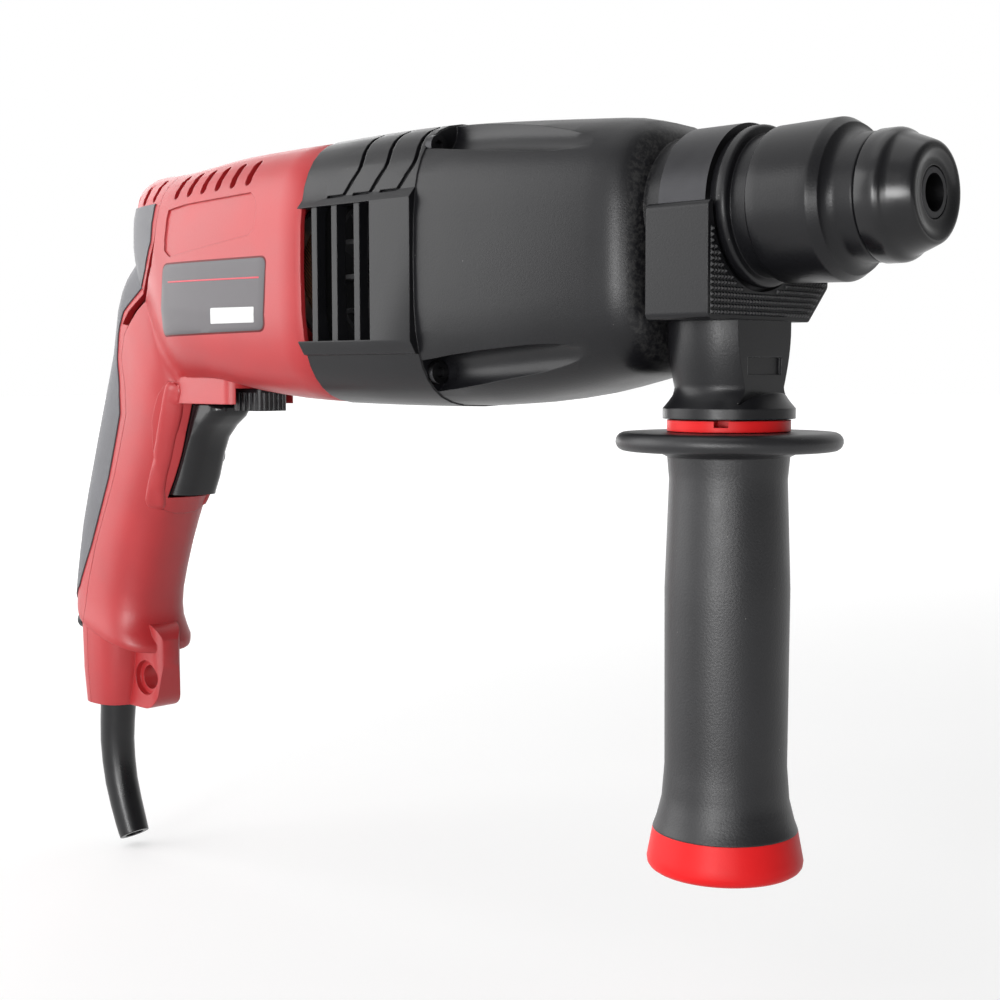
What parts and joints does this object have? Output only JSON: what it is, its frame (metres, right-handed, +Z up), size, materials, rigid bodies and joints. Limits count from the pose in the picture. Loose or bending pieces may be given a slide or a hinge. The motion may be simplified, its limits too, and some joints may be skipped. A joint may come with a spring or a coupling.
{
  "type": "rotary hammer",
  "caption": "Pistol-grip rotary hammer with quick-lock tool socket, sliding locking sleeve, geared hammer mechanism, motor, trigger and clamp-on side handle.",
  "frame": {"origin": "mouth of the tool socket, on the spindle axis", "axes": "+X out of the nose along the spindle, +Y to the tool's left, +Z up"},
  "size_m": [0.3946, 0.078, 0.2817],
  "materials": {
    "red_housing": "satin moulded",
    "soft_grey": "soft-touch",
    "black_housing": "fine grain moulded",
    "inner_plastic": "moulded",
    "fan_plastic": "moulded",
    "gloss_black": "polished",
    "black_rubber": "satin",
    "red_plastic": "satin moulded",
    "black_steel": "blackened",
    "aluminium": "die cast",
    "laminations": "stacked sheet",
    "copper": "varnished wire",
    "carbon": "pressed carbon",
    "steel": "ground"
  },
  "bodies": {
    "housing": {"motor_housing": "red_housing", "handle_cover": "red_housing", "grip_pad": "soft_grey", "gear_housing": "black_housing", "gear_bracket": "aluminium", "air_baffle": "inner_plastic", "stator_core": "laminations", "field_coils": "copper", "front_motor_bearing": "steel", "rear_motor_bearing": "steel", "brush_holders": "inner_plastic", "brushes": "carbon", "brush_springs": "steel", "switch_body": "inner_plastic", "trigger_spring": "steel", "cord_clamp": "inner_plastic", "cord_boot": "black_rubber", "housing_screws": "black_steel", "cover_screws": "black_steel", "layshaft_bearings": "steel", "spindle_bearing": "steel", "spindle_seal": "black_rubber"},
    "armature": {"armature_shaft": "steel", "armature_core": "laminations", "armature_windings": "copper", "commutator": "copper", "fan": "fan_plastic"},
    "layshaft": {"layshaft": "steel", "layshaft_gear": "steel", "wobble_drum": "steel"},
    "wobble": {"wobble_ring": "steel", "piston_pin": "steel"},
    "piston": {"piston": "aluminium"},
    "striker": {"striker": "steel", "striker_seal": "black_rubber"},
    "spindle": {"spindle": "black_steel", "spindle_gear": "steel", "locking_balls": "steel", "dust_cap": "black_rubber", "sleeve_spring": "steel"},
    "beat_piece": {"beat_piece": "steel"},
    "sleeve": {"locking_sleeve": "black_housing", "locking_ring": "steel"},
    "trigger": {"trigger": "gloss_black"},
    "lever": {"reverse_lever": "black_housing"},
    "lock_button": {"lock_button": "black_housing"},
    "mode_knob": {"mode_knob": "black_housing"},
    "side_handle": {"clamp_block": "black_housing", "clamp_neck": "black_housing", "clamp_band": "black_steel", "clamp_bolt": "steel"},
    "side_grip": {"side_grip": "black_rubber", "grip_nut": "steel", "grip_cap": "red_plastic", "ratchet_ring": "red_plastic"}
  },
  "joints": [
    {"name": "armature_spin", "type": "hinge", "parent": "housing", "child": "armature", "pos_m": [-0.2463, 0, -0.01112], "axis": [1, 0, 0], "continuous": true},
    {"name": "layshaft_spin", "type": "hinge", "parent": "housing", "child": "layshaft", "pos_m": [-0.1343, 0, -0.028], "axis": [1, 0, 0], "continuous": true},
    {"name": "spindle_spin", "type": "hinge", "parent": "housing", "child": "spindle", "pos_m": [0, 0, 0], "axis": [1, 0, 0], "continuous": true},
    {"name": "sleeve_slide", "type": "slide", "parent": "spindle", "child": "sleeve", "axis": [-1, 0, 0], "range_m": [0, 0.005], "stiffness_N_per_m": 3000, "springref_m": -0.006, "deforming": ["sleeve_spring"]},
    {"name": "beat_piece_slide", "type": "slide", "parent": "spindle", "child": "beat_piece", "axis": [1, 0, 0], "range_m": [-0.001, 0.004]},
    {"name": "wobble_tilt", "type": "hinge", "parent": "housing", "child": "wobble", "pos_m": [-0.1343, 0, -0.028], "axis": [0, 1, 0], "range_deg": [-11.9, 11.9]},
    {"name": "piston_slide", "type": "slide", "parent": "housing", "child": "piston", "axis": [1, 0, 0], "range_m": [-0.0059, 0.0059]},
    {"name": "striker_slide", "type": "slide", "parent": "housing", "child": "striker", "axis": [1, 0, 0], "range_m": [-0.002, 0.008]},
    {"name": "trigger_slide", "type": "slide", "parent": "housing", "child": "trigger", "axis": [-1, 0, 0], "range_m": [0, 0.006], "stiffness_N_per_m": 1500, "springref_m": -0.003, "deforming": ["trigger_spring"]},
    {"name": "lock_button_slide", "type": "slide", "parent": "housing", "child": "lock_button", "axis": [0, -1, 0], "range_m": [0, 0.0025], "stiffness_N_per_m": 800, "springref_m": -0.001},
    {"name": "reverse_lever_swing", "type": "hinge", "parent": "housing", "child": "lever", "pos_m": [-0.3053, 0, -0.055], "axis": [0, 0, 1], "range_deg": [-12, 12]},
    {"name": "mode_knob_turn", "type": "hinge", "parent": "housing", "child": "mode_knob", "pos_m": [-0.1203, 0.03, -0.014], "axis": [0, 1, 0], "range_deg": [-90, 90]},
    {"name": "side_handle_swivel", "type": "hinge", "parent": "housing", "child": "side_handle", "pos_m": [-0.064, 0, 0], "axis": [1, 0, 0], "range_deg": [-180, 180]},
    {"name": "side_grip_turn", "type": "hinge", "parent": "side_handle", "child": "side_grip", "pos_m": [-0.064, 0, -0.1], "axis": [0, 0, 1], "range_deg": [0, 360]}
  ],
  "couplings": [
    {"joint": "layshaft_spin", "follows": "armature_spin", "ratio": -0.21622},
    {"joint": "spindle_spin", "follows": "armature_spin", "ratio": 0.058968},
    {"joint": "piston_slide", "follows": "wobble_tilt", "m_per_rad": 0.028}
  ]
}
